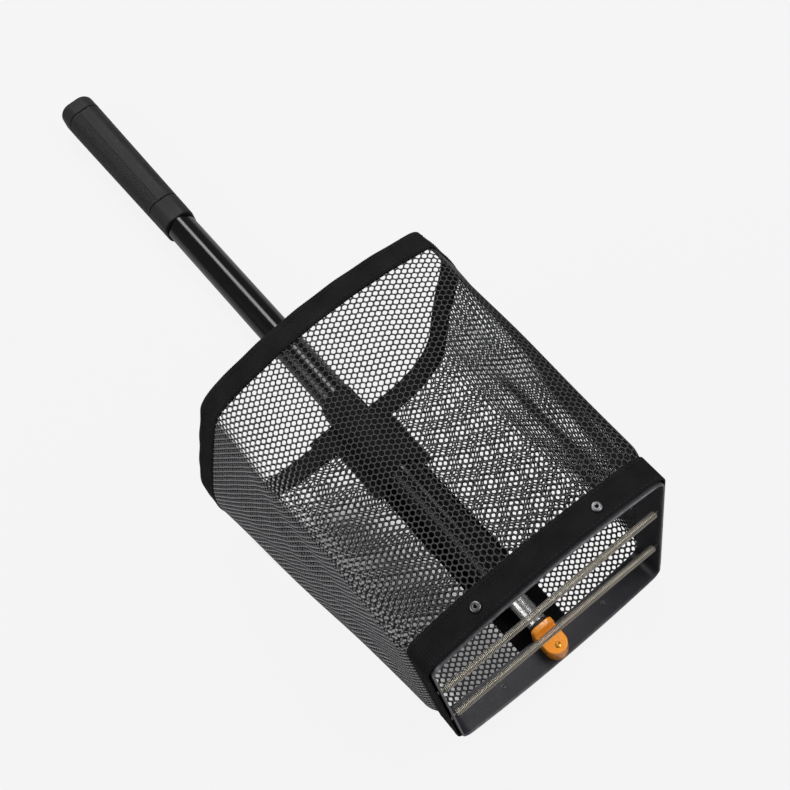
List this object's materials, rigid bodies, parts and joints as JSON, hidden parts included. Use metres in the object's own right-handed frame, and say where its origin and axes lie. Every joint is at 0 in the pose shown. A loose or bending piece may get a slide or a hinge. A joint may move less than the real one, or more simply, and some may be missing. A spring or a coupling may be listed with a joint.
{
  "type": "tennis ball picker",
  "caption": "Hand-held picker for tennis balls: a mesh bag on a steel mouth with springs across it, carried by a telescopic pole with a rubber grip.",
  "frame": {"origin": "on the floor, under the middle of the object as it lies on its back panel", "axes": "+X across the mouth, +Y from the mouth along the pole to the grip, +Z from the back panel up to the front panel"},
  "size_m": [0.2008, 0.6292, 0.1808],
  "materials": {
    "painted_strip": "semi-gloss black enamel on steel strip, polished along the rim",
    "spring_wire": "nickel-plated steel, satin",
    "mesh_cloth": "black polyester warp-knit mesh with round holes",
    "binding_tape": "black ribbed grosgrain tape, sewn",
    "dark_steel": "blackened steel",
    "orange_plastic": "glossy moulded orange plastic",
    "chrome": "polished chrome plate",
    "gloss_black": "glossy black paint on a metal tube",
    "nylon": "natural nylon",
    "black_rubber": "matte black rubber, knurled on the grip's faces",
    "stiffener_plastic": "plain black plastic strip"
  },
  "bodies": {
    "bag": {"mouth_frame": "painted_strip", "front_left_rivet": "dark_steel", "front_right_rivet": "dark_steel", "back_left_rivet": "dark_steel", "back_right_rivet": "dark_steel", "front_spring": "spring_wire", "rear_spring": "spring_wire", "bottom_hem": "binding_tape", "mesh_bag": "mesh_cloth", "top_hem": "binding_tape", "hoop_stiffener": "stiffener_plastic", "back_seam_tape": "binding_tape", "pole_loop": "binding_tape", "end_fitting": "orange_plastic", "fitting_screw": "spring_wire", "fitting_pin": "chrome", "foot_spacer": "black_rubber", "inner_tube": "chrome"},
    "inner_lock": {"inner_tube_lock": "nylon"},
    "middle_section": {"middle_tube": "chrome", "middle_tube_bush": "nylon"},
    "outer_lock": {"middle_tube_lock": "nylon"},
    "handle": {"outer_tube": "gloss_black", "outer_tube_bush": "gloss_black", "outer_tube_plug": "nylon", "grip_ferrule": "black_rubber", "grip_sleeve": "black_rubber", "grip_end_cap": "black_rubber"}
  },
  "joints": [
    {"name": "middle_turn", "type": "hinge", "parent": "bag", "child": "inner_lock", "pos_m": [0, 0, 0.01525], "axis": [0, 1, 0], "continuous": true},
    {"name": "middle_slide", "type": "slide", "parent": "inner_lock", "child": "middle_section", "axis": [0, 1, 0], "range_m": [0, 0.24]},
    {"name": "handle_turn", "type": "hinge", "parent": "middle_section", "child": "outer_lock", "pos_m": [0, 0, 0.01525], "axis": [0, 1, 0], "continuous": true},
    {"name": "handle_slide", "type": "slide", "parent": "outer_lock", "child": "handle", "axis": [0, 1, 0], "range_m": [0, 0.24]}
  ]
}
